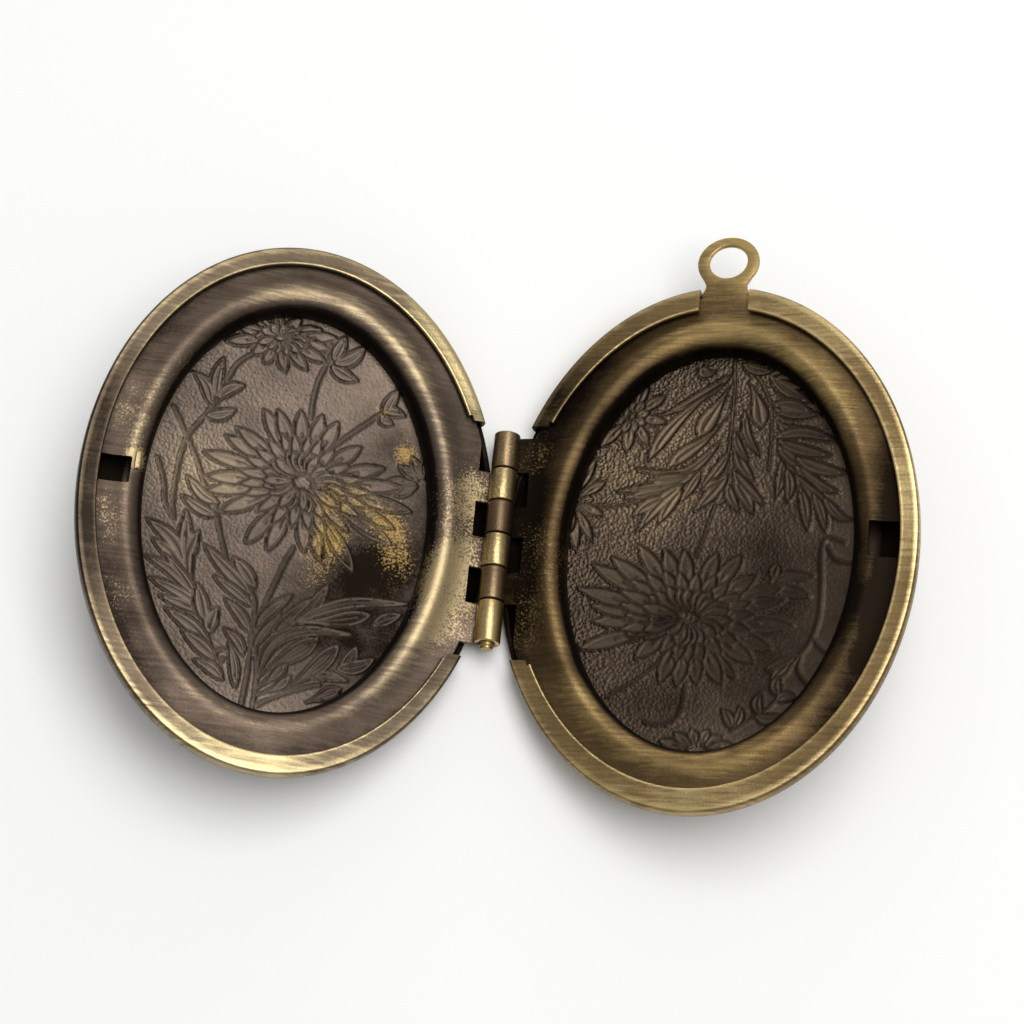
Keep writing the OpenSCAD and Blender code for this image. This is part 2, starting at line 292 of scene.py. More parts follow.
def engrave(spots, drawing, fine):
    """Height of the stamped figures at each spot, how much of it is line, and the figures.

    A drawing is a list of kind, width and strokes. fine is the half width of a line.
    """
    body, line, figure = (np.zeros(len(spots)) for _ in range(3))
    for kind, width, strokes in drawing:
        lines = [smooth(stroke) for stroke in strokes]
        ends = np.concatenate(lines)
        low, high = ends.min(0) - width - 0.5, ends.max(0) + width + 0.5
        here = np.flatnonzero(((spots > low) & (spots < high)).all(1))
        if not len(here):
            continue
        edge = np.full(len(here), 1e9)
        rib = np.zeros(len(here))
        for drawn in lines:
            gap, share = along(drawn, spots[here])
            half = width / 2
            if kind != "stem":
                bow = np.sin(np.pi * share ** WIDEST[kind])
                half = half * np.clip(bow, 0, 1) ** 0.8
                ribbed = (share > 0.12) & (share < (0.55 if kind == "petal" else 0.85))
                rib = np.maximum(rib, np.exp(-(gap / (fine * 0.8)) ** 2) * ribbed)
            edge = np.minimum(edge, gap - half)
        inside = np.clip(0.5 - edge / 0.12, 0, 1)
        swell = RAISED[kind] * (1 - np.exp(np.minimum(edge, 0) / 0.25))
        body[here] = body[here] * (1 - inside) + swell * inside
        # A stem is one narrow ridge, and the others have a line round them.
        ridge = np.maximum(edge, 0) if kind == "stem" else edge
        drawn_line = np.exp(-(ridge / fine) ** 2) * (0.8 if kind == "stem" else 1)
        drawn_line = np.maximum(drawn_line, 0.55 * rib * inside)
        line[here] = np.maximum(line[here] * (1 - inside), drawn_line)
        figure[here] = np.maximum(figure[here], inside)
    return body, line, figure


def bloom(centre, tips, width, rings=((1, 0.3), (0.66, 0.18), (0.42, 0.1))):
    """A chrysanthemum's petals, ring over ring towards the middle."""
    drawn = []
    tips = [Vector(tip) - Vector(centre) for tip in tips]
    for number, (reach, foot) in enumerate(rings):
        for i, tip in enumerate(tips):
            after = tips[(i + 1) % len(tips)]
            out = tip if number % 2 == 0 else (tip + after) / 2
            a, b = Vector(centre) + out * foot, Vector(centre) + out * reach
            drawn.append(("petal", width * (1 if number == 0 else 0.8), [(*a, *b)]))
    return drawn


def pebble(spots, pitch, seed):
    """Fine uneven bumps of about one pitch, 0 to 1."""
    grid = np.random.default_rng(seed).random((160, 160))
    x, y = (spots[:, 0] + 18) / pitch, (spots[:, 1] + 20) / pitch
    i, j = np.floor(x).astype(int) % 159, np.floor(y).astype(int) % 159
    fx, fy = x - np.floor(x), y - np.floor(y)
    fx, fy = fx * fx * (3 - 2 * fx), fy * fy * (3 - 2 * fy)
    top = grid[i, j] * (1 - fx) + grid[i + 1, j] * fx
    return top * (1 - fy) + (grid[i, j + 1] * (1 - fx) + grid[i + 1, j + 1] * fx) * fy


def keep(mesh, name, values):
    """Keeps a value for each vertex under a name, for the finish to read."""
    mesh.attributes.new(name, "FLOAT", "POINT").data.foreach_set("value", values)


# Half the width of a drawn line and its height, sharp on the floor and softer outside.
FLOOR_LINE, BACK_LINE = (0.115, 0.15), (0.2, 0.11)
PEBBLE = 0.02


def stamp(shell, side, drawing, rough):
    """Raises the drawing on the floor, and the same on the dome's outer face."""
    mesh = shell.data
    place = np.zeros(len(mesh.vertices) * 3)
    mesh.vertices.foreach_get("co", place)
    place = place.reshape(-1, 3)
    spots = np.stack([side * (place[:, 0] - CENTRE), place[:, 1]], 1)
    r = np.hypot(spots[:, 0] * LONG / WIDE, spots[:, 1])
    # The middle of the sheet parts the floor's vertices from the outside's.
    above = place[:, 2] > -DOME + DOME_W + SHEET / 2 + r ** 2 / (2 * DOME)
    lines, ground = np.zeros(len(place)), np.zeros(len(place))
    faces = ((above, FLOOR_R, FLOOR_LINE), (~above, BACK_R, BACK_LINE))
    for face, edge, (fine, height) in faces:
        here = face & (r < edge - 0.05) & (place[:, 2] < DEEP)
        body, line, figure = engrave(spots[here], drawing, fine)
        fade = np.clip((edge - r[here]) / 0.6, 0, 1)
        bare = rough(spots[here]) * (1 - figure) * fade
        bumps = PEBBLE * pebble(spots[here], pitch=0.3, seed=3) * bare
        place[here, 2] += (body + height * line) * fade + bumps
        lines[here] = line * fade
        ground[here] = bare
    mesh.vertices.foreach_set("co", place.ravel())
    keep(mesh, "line", lines)
    keep(mesh, "ground", ground)
    mesh.update()


# The back floor's drawing, from the oval's centre: across to the right, then up. A figure
# is its kind, its width, and its strokes as runs of points.
STEM = 0.16
BACK_BLOOM = [(-8.5, -0.9), (-7.2, -0.3), (-5.3, 0.7), (-3.4, 0.4), (-1.9, 0.3), (0.5, 0.1),
    (2.3, -0.1), (3.4, -1.7), (5.3, -2.7), (5.6, -3.6), (6.3, -5.6), (4.8, -7.3), (3.6, -8.3),
    (1.4, -9.9), (-0.3, -9.9), (-1.7, -10.1), (-3, -9.9), (-4.9, -8), (-6.9, -6.7), (-8.9, -7.4),
    (-8.1, -5.3), (-8.3, -4.1), (-9.4, -2.8)]
BACK_SPRAY = [
    ("stem", STEM, [(2.2, 14.4, 3.2, 13, 3.9, 11.3, 4, 9, 3.9, 6.4)]),
    ("leaf", 0.8, [(0.8, 13.8, -0.3, 12.9, -1.5, 12.1, -2.7, 11.4, -4.3, 10.7)]),
    ("bud", 1, [(0.2, 13.1, -1.8, 11.6, -3.7, 9.6, -5.1, 7.2)]),
    ("bud", 1.3, [(0.8, 13, 0, 11.6, -0.7, 10.4, -1.5, 9)]),
    ("bud", 1.05, [(0.6, 10.4, -0.9, 8.8, -2.2, 7.9, -3.6, 6.7)]),
    ("leaf", 0.75, [(0.2, 8.6, -0.9, 7.3, -1.9, 6.4, -3.4, 6.1, -5.9, 6.6)]),
    ("leaf", 0.9, [(-1.3, 6.4, -2.8, 5.4, -4.6, 5.1, -7.2, 4.8), (-1.8, 6, -3, 5.8, -5, 5.7),
        (-2.4, 5.4, -4.2, 4.7, -6.6, 4.3)]),
    ("leaf", 1, [(-2.3, 5.4, -3.7, 4.2, -4.6, 3.1, -5.5, 1.7), (-2.4, 5, -3.2, 4, -4, 2.3),
        (-3.4, 4.4, -4.8, 3.8, -5.9, 2.9)]),
    ("leaf", 0.7, [(-1.1, 6.4, -1.7, 5.2, -2.5, 4)]),
    ("leaf", 0.75, [(0.9, 7.8, 0.1, 6.3, -1.1, 5)]),
    ("leaf", 1, [(0.9, 6.2, 0, 4.8, -1.4, 3.3), (0.6, 5.6, -0.2, 5.2, -0.9, 4.9)]),
    ("leaf", 0.7, [(0.8, 5, 0.6, 4.2, 0.1, 3.7)]), ("bud", 1.3, [(2.1, 13.2, 2.8, 11.8, 3.2, 9.6)]),
    ("leaf", 0.7, [(1.9, 11, 2, 9.4, 2.5, 8.4, 3.2, 7.5)]),
    ("leaf", 0.9, [(1.3, 8.4, 1.8, 6.8, 2.9, 5.4)]),
    ("leaf", 0.7, [(1.2, 9.4, 1.5, 8.2, 2.4, 7)]),
    ("leaf", 1, [(1.2, 6.4, 2.2, 5, 3.7, 3.7), (1.4, 5.6, 2.4, 4.2, 2.9, 3)]),
    ("leaf", 0.8, [(0.9, 5.4, 1.2, 4.2, 1.9, 3.2)]),
    ("leaf", 0.8, [(1.6, 14.6, 2.6, 14, 3.8, 13.9)]),
    ("bud", 1, [(-0.2, 14.2, -0.9, 13.9, -1.7, 14.3)]),
    ("leaf", 1, [(3.6, 13.6, 4.9, 12.4, 6.7, 11.3), (4, 13.4, 5.2, 13, 6.2, 12.4)]),
    ("leaf", 0.9, [(4, 11.3, 5.2, 11.4, 6.8, 10.7), (4.1, 11, 5.2, 10.6, 7.4, 10.4)]),
    ("bud", 1, [(4.1, 10.4, 4.9, 9.4, 6.1, 9.1)]), ("leaf", 0.9, [(4.2, 8.8, 6.2, 9.3, 8.6, 8.3)]),
    ("leaf", 0.9, [(4.4, 8.6, 6, 7.8, 8.4, 7.2), (4.4, 8.2, 5.6, 7, 7.2, 5.9)]),
    ("leaf", 1, [(5.8, 7.2, 7.6, 6.2, 9.5, 5.8), (5.8, 6.6, 7.4, 5, 9, 4.4)]),
    ("leaf", 0.9, [(5.6, 6, 6.9, 4.6, 8.6, 3.4)]), ("leaf", 0.8, [(4.8, 7, 4.9, 5.8, 4.5, 4.2)]),
    ("leaf", 0.8, [(5.2, 6.4, 5.6, 5, 5.3, 3.8)]), ("leaf", 0.8, [(6.2, 5, 6.7, 3.4, 6.9, 1.6)]),
    ("leaf", 0.7, [(7.2, 4.4, 7.9, 3, 8.2, 1.4)]), ("leaf", 0.7, [(8, 4, 9, 2.6, 10, 2.2)])]
BACK_DRAWING = [
    ("stem", STEM, [(-9.8, 3.9, -8, 3.6, -6.2, 3.7, -4.6, 4.6)]),
    ("stem", STEM, [(-1, -0.2, -0.5, 1.4, 0, 3.4, 0.8, 6, 0.9, 8, 1, 10, 1.1, 12.4, 1, 14.8)]),
    ("stem", STEM, [(9.6, 0.6, 8.2, 1.2, 7.9, 0, 8.1, -2.6, 8.1, -5, 7.6, -6.8, 6.8, -8, 4.8, -9)]),
    ("stem", STEM, [(8.4, 0.3, 9, -0.8, 10, -1)]),
    ("stem", STEM, [(7.7, -6.6, 8.4, -7.5, 8.8, -7.6)]),
    ("stem", STEM, [(6.9, -8, 6.7, -9, 7.4, -9.9)]),
    ("stem", STEM, [(5.6, -10.9, 4.6, -12, 2.4, -13.3)]),
    ("leaf", 0.8, [(6.6, -8, 5.6, -8.6, 4.5, -8.8), (6.2, -8.4, 5.6, -9, 4.9, -9.6)]),
    ("leaf", 0.8, [(5.6, -10.8, 5.2, -10, 5.6, -9.4), (5.4, -11.2, 6, -10.8, 6.8, -11)]),
    ("leaf", 0.8, [(4.4, -12.2, 4, -11.4, 4.3, -10.6), (4, -12.4, 5, -12.6, 5.8, -12.2)]),
    ("leaf", 0.8, [(2.4, -13.2, 2.2, -12.4, 1.6, -11.8), (2.6, -13.2, 3, -12.2, 2.8, -11.6)]),
    ("stem", STEM, [(-1.1, -9.8, -1.2, -11.6, -1.6, -12.7, -2.6, -13.1, -3.8, -12.8)]),
    ("stem", STEM, [(-2.8, -8, -4.2, -9.4, -6.6, -11)]),
    ("leaf", 0.9, [(4.4, -2.4, 5.6, -1.8, 7.5, -1.9), (4.6, -2, 4.8, -1.4, 4.9, -0.8),
        (4.6, -2.8, 5.8, -2.9, 7.3, -3.4)]),
    ("leaf", 0.8, [(0.4, -7.2, 0.9, -8.6, 1.5, -9.9), (0.7, -7.6, 1.5, -8.6, 2.4, -9.4)])]
BACK_DRAWING += BACK_SPRAY
BACK_DRAWING += bloom((-6.4, 10.7), [(-8.6, 8.3), (-8.4, 10.6), (-6.9, 12.2), (-5.4, 13.4),
    (-4, 12.3), (-3.8, 10.2), (-5.1, 8.4), (-6.7, 7.9)], 0.85, ((1, 0.15), (0.5, 0.1)))
BACK_DRAWING += bloom((-10.3, 4), [(-9.9, 6), (-8.9, 7.3), (-8, 5.6), (-8, 2.9), (-8.7, 0.9),
    (-9.8, 0.1), (-10.4, 1.4)], 0.75, ((1, 0.15),))
BACK_DRAWING += bloom((0.2, -14.9), [(-2.6, -14.2), (-1.6, -13.6), (-0.4, -13.3), (0.8, -13.3),
    (1.8, -13.8), (2.6, -14.4)], 0.8, ((1, 0.25),))
BACK_DRAWING += bloom((-1.2, -4.9), BACK_BLOOM, 1.15)


def back_ground(spots):
    """Strong pebbling at the upper left, worn smooth towards the lower right."""
    return np.clip(0.75 - (spots[:, 0] * 0.8 - spots[:, 1] * 0.4) / 14, 0.1, 1)


def linear(hex_colour):
    """An sRGB hex colour as linear RGBA."""
    parts = [int(hex_colour[i:i + 2], 16) / 255 for i in (1, 3, 5)]
    return [c / 12.92 if c <= 0.04045 else ((c + 0.055) / 1.055) ** 2.4 for c in parts] + [1]


def add(tree, kind, inputs, **settings):
    """Adds one shader node with its settings and its values or links."""
    made = tree.nodes.new("ShaderNode" + kind)
    for name, value in settings.items():
        setattr(made, name, value)
    for socket, value in inputs.items():
        if isinstance(value, bpy.types.NodeSocket):
            tree.links.new(value, made.inputs[socket])
        else:
            made.inputs[socket].default_value = value
    return made


def antique_brass(name, oxide_and_shade, patina, rubbed, flake, streaks, grain, polish):
    """Brass darkened in a sulphur bath, then brushed along X so that high places shine.

    Tone runs from oxide, which also serves as painted shade, over patina to rubbed metal.
    The piece's own attributes say where it is worn and where shade and highlights are
    painted, where the oxide has flaked off, and where stamped lines run.
    """
    finish = bpy.data.materials.new(name)
    finish.use_nodes = True
    tree = finish.node_tree
    tree.nodes.clear()
    place = add(tree, "TexCoord", {}).outputs["Object"]
    wear_and_painted_light = add(tree, "Attribute", {}, attribute_name="wear_and_painted_light").outputs["Fac"]
    flaked = add(tree, "Attribute", {}, attribute_name="flaked").outputs["Fac"]
    line = add(tree, "Attribute", {}, attribute_name="line").outputs["Fac"]
    # Brush marks: about 0.25 mm wide and 6 mm long.
    marks = add(tree, "Mapping", {"Vector": place, "Scale": (160, 4000, 1200)}).outputs[0]
    brushed = add(tree, "TexNoise", {"Vector": marks, "Scale": 1, "Detail": 3,
        "Roughness": 0.6}).outputs[0]
    # Cloudy staining 2 to 5 mm across, and grit marks of 0.15 mm.
    stain = add(tree, "TexNoise", {"Vector": place, "Scale": 280, "Detail": 4,
        "Roughness": 0.6}).outputs[0]
    grit = add(tree, "TexNoise", {"Vector": place, "Scale": 6400, "Detail": 3,
        "Roughness": 0.6}).outputs[0]
    # The brush shows most on metal that it has rubbed bare.
    bared = add(tree, "Math", {0: wear_and_painted_light, 1: 1.6 * streaks, 2: 0.3 * streaks},
        operation="MULTIPLY_ADD").outputs[0]
    brush = add(tree, "Math", {0: brushed, 1: 0.5}, operation="SUBTRACT").outputs[0]
    tone = add(tree, "Math", {0: brush, 1: bared, 2: wear_and_painted_light}, operation="MULTIPLY_ADD").outputs[0]
    tone = add(tree, "Math", {0: stain, 1: 0.5, 2: tone}, operation="MULTIPLY_ADD").outputs[0]
    tone = add(tree, "Math", {0: grit, 1: grain, 2: tone}, operation="MULTIPLY_ADD").outputs[0]
    tone = add(tree, "Math", {0: tone, 1: (0.5 + grain) / 2}, operation="SUBTRACT").outputs[0]
    low = add(tree, "MapRange", {"Value": tone, "From Min": 0.05, "From Max": 0.5}).outputs[0]
    high = add(tree, "MapRange", {"Value": tone, "From Min": 0.5, "From Max": 0.95}).outputs[0]
    # In a colour Mix socket 0 is the share, and 6 and 7 are the two colours.
    colour = add(tree, "Mix", {0: low, 6: linear(oxide_and_shade), 7: linear(patina)},
        data_type="RGBA").outputs[2]
    colour = add(tree, "Mix", {0: high, 6: colour, 7: linear(rubbed)}, data_type="RGBA").outputs[2]
    spots = add(tree, "Math", {0: grit, 1: flaked}, operation="ADD").outputs[0]
    spots = add(tree, "Math", {0: stain, 1: 0.6, 2: spots}, operation="MULTIPLY_ADD").outputs[0]
    spots = add(tree, "MapRange", {"Value": spots, "From Min": 1.11, "From Max": 1.3}).outputs[0]
    colour = add(tree, "Mix", {0: spots, 6: colour, 7: linear(flake)}, data_type="RGBA").outputs[2]
    # Stamped lines are painted dark, as painted shade, where the metal is light, and light, as a
    # painted highlight, where it is dark; in the grooves outside the dark is oxide.
    bare = add(tree, "MapRange", {"Value": wear_and_painted_light, "From Min": 0.12, "From Max": 0.3}).outputs[0]
    drawn = add(tree, "Mix", {0: bare, 6: linear(patina), 7: linear(oxide_and_shade)},
        data_type="RGBA").outputs[2]
    ridge = add(tree, "Math", {0: line, 1: 0.65}, operation="MULTIPLY").outputs[0]
    colour = add(tree, "Mix", {0: ridge, 6: colour, 7: drawn}, data_type="RGBA").outputs[2]
    # Rubbed metal is the most polished.
    rough = add(tree, "MapRange", {"Value": tone, "To Min": polish + 0.16,
        "To Max": polish}).outputs[0]
    # The stamped ground: round pebbles about 0.2 mm apart, fading where it is smooth.
    ground = add(tree, "Attribute", {}, attribute_name="ground").outputs["Fac"]
    pebbles = add(tree, "TexVoronoi", {"Vector": place, "Scale": 4600},
        feature="SMOOTH_F1").outputs[0]
    ground = add(tree, "Math", {0: ground, 1: 2.6}, operation="MULTIPLY").outputs[0]
    pebbles = add(tree, "Math", {0: pebbles, 1: ground}, operation="MULTIPLY").outputs[0]
    relief = add(tree, "Math", {0: brushed, 1: 0.25, 2: pebbles}, operation="MULTIPLY_ADD").outputs[0]
    relief = add(tree, "Math", {0: grit, 1: 0.25, 2: relief}, operation="MULTIPLY_ADD").outputs[0]
    bump = add(tree, "Bump", {"Height": relief, "Strength": 0.9, "Distance": 0.00006}).outputs[0]
    shader = add(tree, "BsdfPrincipled", {"Base Color": colour, "Roughness": rough, "Normal": bump,
        "Metallic": 1.0})
    add(tree, "OutputMaterial", {"Surface": shader.outputs[0]})
    return finish


def soft_round_marks(spots, marks):
    """The change that soft round marks make: across, up, reach, change."""
    amount = np.zeros(len(spots))
    for a, v, reach, change in marks:
        amount += change * np.exp(-((spots - (a, v)) ** 2).sum(1) / reach ** 2)
    return amount


def tarnish_and_painted_light(piece, side, wear_and_painted_light, marks, flaked, painted_light_and_wear):
    """Stores where a piece is worn and flaked, and where shade and highlights are painted on it, by
    its place in the half.

    The marks lie on its inner face and fade round the rim; some of them are painted shade.
    The last argument gives what depth, a covered place and a raised edge change, as painted
    shade, painted highlight and wear: from radius, height and facing.
    """
    mesh = piece.data
    place, facing = (np.zeros(len(mesh.vertices) * 3) for _ in range(2))
    mesh.vertices.foreach_get("co", place)
    mesh.vertices.foreach_get("normal", facing)
    place, facing = place.reshape(-1, 3), facing.reshape(-1, 3)
    spots = np.stack([side * (place[:, 0] - CENTRE), place[:, 1]], 1)
    r = np.hypot(spots[:, 0] * LONG / WIDE, spots[:, 1])
    inner = np.clip(1.5 + 2.5 * facing[:, 2], 0, 1)
    # Wear, with painted shade and highlights from the marks and the last argument.
    value = wear_and_painted_light + soft_round_marks(spots, marks) * inner + painted_light_and_wear(r, place[:, 2], facing[:, 2])
    keep(mesh, "wear_and_painted_light", np.clip(value, 0, 1))
    keep(mesh, "flaked", soft_round_marks(spots, flaked) * inner)


def shell_shade_and_highlight(r, height, up):
    """Painted shade, near black, where the plate covers the hollow, and a painted highlight on the
    lip's raised edges.
    """
    # Painted shade where the plate covers the hollow.
    shade_under_plate = np.interp(r, (15.5, 16.3), (0, -1)) * ((up > 0) & (height < -0.5))
    # A painted highlight on the lip's raised edge.
    return shade_under_plate + np.interp(height, (-0.068, -0.052), (0, 0.4))


def hinge_shade(side):
    """Painted shade where a shell runs in under the hinge."""
    return [(-15 * side, v, 2.5, -0.6) for v in (-7, -2.5, 2.5, 7)]


def smooth_faces(piece, angle):
    """Shades a piece smooth except at edges sharper than the angle, in degrees."""
    choose(piece)
    bpy.ops.object.shade_smooth_by_angle(angle=math.radians(angle))


def inside_finish(shell, outside, inside):
    """Gives the pressed outside and lip one finish, and the hollow another."""
    shell.data.materials.append(outside)
    shell.data.materials.append(inside)
    for face in shell.data.polygons:
        hollow = face.normal.z > 0.2 and face.center.z < LIP_FACE - 2 * SHEET
        face.material_index = int(hollow)


back_shell = press_shell("back_shell_stamped", lip=1.8, wider=0, bail_gap=True)
refine(back_shell, facing=1, radius=FLOOR_R, cuts=4)
refine(back_shell, facing=-1, radius=BACK_R, cuts=1)
stamp(back_shell, 1, BACK_DRAWING, back_ground)
tarnish_and_painted_light(back_shell, 1, wear_and_painted_light=0.44, marks=[(-11, 14, 4, -0.3), (-12.5, 10.5, 3, -0.3), (15, 3, 6, 0.3),
    (5, -5, 8, -0.24), (-3, -11, 5, -0.14), (-5, 7, 6, 0.25), (7, 16, 5, 0.2), (0, -19.5, 6, 0.2),
    *hinge_shade(1)], flaked=[], painted_light_and_wear=shell_shade_and_highlight)
# The lip and the outside are a warm brown brushed to streaks of gold. The hollow is a
# dull dark brown that the brush has hardly reached.
lip_brown = antique_brass("antique_brass_lip_brown", oxide_and_shade="#221A13", patina="#86704C",
    rubbed="#DCC48C", flake="#C7A566", streaks=0.5, grain=0.2, polish=0.34)
floor_dark = antique_brass("oxidised_brass_floor_dark", oxide_and_shade="#17120D", patina="#584B3F",
    rubbed="#8A775A", flake="#A98B55", streaks=0.1, grain=0.25, polish=0.4)
inside_finish(back_shell, lip_brown, floor_dark)
smooth_faces(back_shell, 60)
lay(back_shell, "back_half")
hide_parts("back_shell")

# Back plate
# Blanked from 0.35 mm brass: the picture opening's edge is turned down over a broad
# bead, three tabs are rolled into knuckles, and the flat bail ring is left on the end.
# The plate's R and its width as a share of its length, and half of the opening's size.
PLATE_R, PLATE_RATIO = 19.48, 14.58 / 19.48
OPENING_WIDE, OPENING_LONG = 10.35, 15.2
# The bead is a quarter round of sheet: its centre and its outer radius.
BEAD_R, BEAD_W, BEAD = 16.6, -1.6, 1.4
FLAT = -0.58
# The plate's straight side at the hinge, and the catch slot at the other side.
PLATE_EDGE = 1.75
SLOT_FROM, SLOT_TO = 26.7, 29.2
# The knuckles' outer and inner radius, and where they end, from the bail's end down.
KNUCKLE, BORE = 0.95, 0.57
KNUCKLE_ENDS = [8.4, 5.5, 2.95, 0.4, -2.15, -4.7, -7.9]
KNUCKLE_GAP = 0.12
# How far out the bail's neck bends down, and by how many degrees.
BAIL_BEND_Y, BAIL_BEND = 19.85, 5


def outline(name, points):
    """A closed loop of vertices through the points, filled with one face."""
    clear()
    bpy.ops.mesh.primitive_circle_add(vertices=len(points), radius=1, fill_type="NGON")
    made = bpy.context.object
    made.name = made.data.name = name
    for v, point in zip(made.data.vertices, points):
        v.co = point
    return made


def arc(centre, radius, first, last, count):
    """Points on an arc from one angle to another, in degrees."""
    angles = np.radians(np.linspace(first, last, count))
    return [(centre[0] + radius * math.cos(a), centre[1] + radius * math.sin(a)) for a in angles]


def break_edges(piece, width):
    """Rounds off a piece's sharp edges, as tumbling does."""
    apply(piece, "BEVEL", width=width, segments=3, limit_method="ANGLE",
        angle_limit=math.radians(50))


def roll_knuckle(high, low):
    """One tab rolled down and round the pin until its end meets the tab again."""
    # The outside of the tab and its roll, and back along the inside.
    section = [(2.4, FLAT - SHEET), (0.35, FLAT - SHEET)]
    section += arc((0, 0), KNUCKLE, -90, -388, 40)
    section += arc((0, 0), BORE, -384, -90, 30)
    section += [(0.3, FLAT + 0.005), (2.4, FLAT)]
    knuckle = outline("knuckle", [(u, low + KNUCKLE_GAP / 2, w) for u, w in section])
    edit(knuckle, "FACE")
    bpy.ops.mesh.select_all(action="SELECT")
    length = high - low - KNUCKLE_GAP
    bpy.ops.mesh.extrude_region_move(TRANSFORM_OT_translate={"value": (0, length, 0)})
    bpy.ops.mesh.select_all(action="SELECT")
    bpy.ops.mesh.normals_make_consistent(inside=False)
    clear()
    break_edges(knuckle, 0.09)
    return knuckle


def union(piece, other):
    """Joins another closed mesh into a piece."""
    apply(piece, "BOOLEAN", object=other, operation="UNION", solver="EXACT")
    bpy.data.objects.remove(other)


def press_plate(name, first_knuckle, slot):
    """One plate with every other knuckle from the first, and a catch slot of this width."""
    # The section runs in over the flat and the bead, down the wall, and back underneath.
    round_edge = 0.08
    section = [(PLATE_R, FLAT - SHEET + round_edge), (PLATE_R, FLAT - round_edge)]
    section += [(PLATE_R - round_edge, FLAT)]
    section += [(18.5, FLAT), (18.1, -0.565), (17.75, -0.52), (17.4, -0.43), (17.1, -0.335)]
    section += [(16.85, -0.25)]
    section += arc((BEAD_R, BEAD_W), BEAD, 90, 180, 10)
    section += [(15.2, -2.08), (15.27, -2.15), (15.48, -2.15), (15.55, -2.08)]
    section += arc((BEAD_R, BEAD_W), BEAD - SHEET, 180, 90, 8)
    section += [(17.2, -0.66), (17.7, -0.85), (18.2, FLAT - SHEET)]
    section += [(PLATE_R - round_edge, FLAT - SHEET)]
    clear()
    bpy.ops.mesh.primitive_circle_add(vertices=len(section), radius=1, fill_type="NOTHING")
    plate = bpy.context.object
    plate.name = plate.data.name = name
    for v, (r, w) in zip(plate.data.vertices, section):
        v.co = (r, 0, w)
    edit(plate)
    bpy.ops.mesh.select_all(action="SELECT")
    bpy.ops.mesh.spin(steps=288, angle=math.tau, center=(0, 0, 0), axis=(0, 0, 1))
    bpy.ops.mesh.select_all(action="SELECT")
    bpy.ops.mesh.remove_doubles(threshold=0.001)
    bpy.ops.mesh.normals_make_consistent(inside=False)
    bpy.ops.object.mode_set(mode="OBJECT")
    # The round is narrowed more at the opening's edge than at the plate's.
    opening_ratio = OPENING_WIDE / OPENING_LONG
    for v in plate.data.vertices:
        share = (math.hypot(v.co.x, v.co.y) - OPENING_LONG) / (PLATE_R - OPENING_LONG)
        v.co.x = CENTRE + v.co.x * (opening_ratio + (PLATE_RATIO - opening_ratio) * share)
    edit(plate)
    bpy.ops.mesh.select_all(action="SELECT")
    bpy.ops.mesh.bisect(plane_co=(PLATE_EDGE, 0, 0), plane_no=(1, 0, 0), clear_inner=True,
        use_fill=True)
    clear()
    for high, low in list(zip(KNUCKLE_ENDS, KNUCKLE_ENDS[1:]))[first_knuckle::2]:
        union(plate, roll_knuckle(high, low))
    cut(plate, (SLOT_FROM, -slot / 2, -1.7), (SLOT_TO, slot / 2, 0.3), round_off=0.15)
    return plate


def cut_bail():
    """The bail ring with its neck, blanked flat and bent down at the plate's edge."""
    # The ring's middle beyond the bend, its half width and half height, and its hole.
    reach, wide, tall, hole = 2.55, 2.3, 2.18, 1.42
    # One side of the neck, narrowing outwards, and of the ring.
    half = [(1.8, -1.2), (1.8, -0.35), (1.74, -0.1), (1.6, 0.15), (1.53, 0.4), (1.54, 0.65)]
    half += [(x * wide / tall, y) for x, y in arc((0, reach), tall, -36, 90, 26)]
    sides = half + [(-x, y) for x, y in reversed(half[:-1])]
    bail = outline("bail", [(x, y, 0) for x, y in sides])
    edit(bail, "FACE")
    bpy.ops.mesh.select_all(action="SELECT")
    bpy.ops.mesh.extrude_region_move(TRANSFORM_OT_translate={"value": (0, 0, -SHEET)})
    bpy.ops.mesh.select_all(action="SELECT")
    bpy.ops.mesh.normals_make_consistent(inside=False)
    clear()
    bpy.ops.mesh.primitive_cylinder_add(vertices=64, radius=hole, depth=2,
        location=(0, reach + 0.04, 0))
    punch = bpy.context.object
    apply(bail, "BOOLEAN", object=punch, operation="DIFFERENCE", solver="EXACT")
    bpy.data.objects.remove(punch)
    break_edges(bail, 0.07)
    edit(bail)
    bpy.ops.mesh.select_all(action="SELECT")
    bpy.ops.mesh.bisect(plane_co=(0, 0, 0), plane_no=(0, 1, 0))
    bpy.ops.object.mode_set(mode="OBJECT")
    bend = Matrix.Rotation(math.radians(-BAIL_BEND), 3, "X")
    for v in bail.data.vertices:
        if v.co.y > 0.001:
            v.co = bend @ v.co
        v.co += Vector((BAIL_U, BAIL_BEND_Y, FLAT))
    return bail


def rub_knuckles(plate):
    """Gives the knuckles the finish that handling has left on them, a mottled pale gold."""
    plate.data.materials.append(bpy.data.materials.get("rubbed_brass_knuckles") or antique_brass(
        "rubbed_brass_knuckles", oxide_and_shade="#2A1F1A", patina="#77634B", rubbed="#C4AB78",
        flake="#D8C08A", streaks=0.12, grain=0.4, polish=0.3))
    for face in plate.data.polygons:
        if math.hypot(face.center.x, face.center.z) < KNUCKLE + 0.01:
            face.material_index = 1


def plate_shade_and_wear(r, height, up):
    """Painted shade in the turned-down wall, patina with painted shade under the lip towards the outer
    edge, and worn bright on the bead's crest and the knuckles.
    """
    # Painted shade down the turned-down wall; the bead's crest is worn bright.
    change = np.interp(height, (-1.5, -0.75, -0.62, -0.56, -0.25), (-1, -0.5, 0, 0, 0.2))
    # Darker towards the outer edge: patina and painted shade under the lip.
    change += np.interp(r, (17.2, 18.8), (0, -0.12))
    return np.where((r > PLATE_R + 0.2) & (height < 0), 0, np.where(height > 0, 0.4, change))


back_plate = press_plate("back_plate_rolled", first_knuckle=0, slot=2.7)
union(back_plate, cut_bail())
smooth_faces(back_plate, 35)
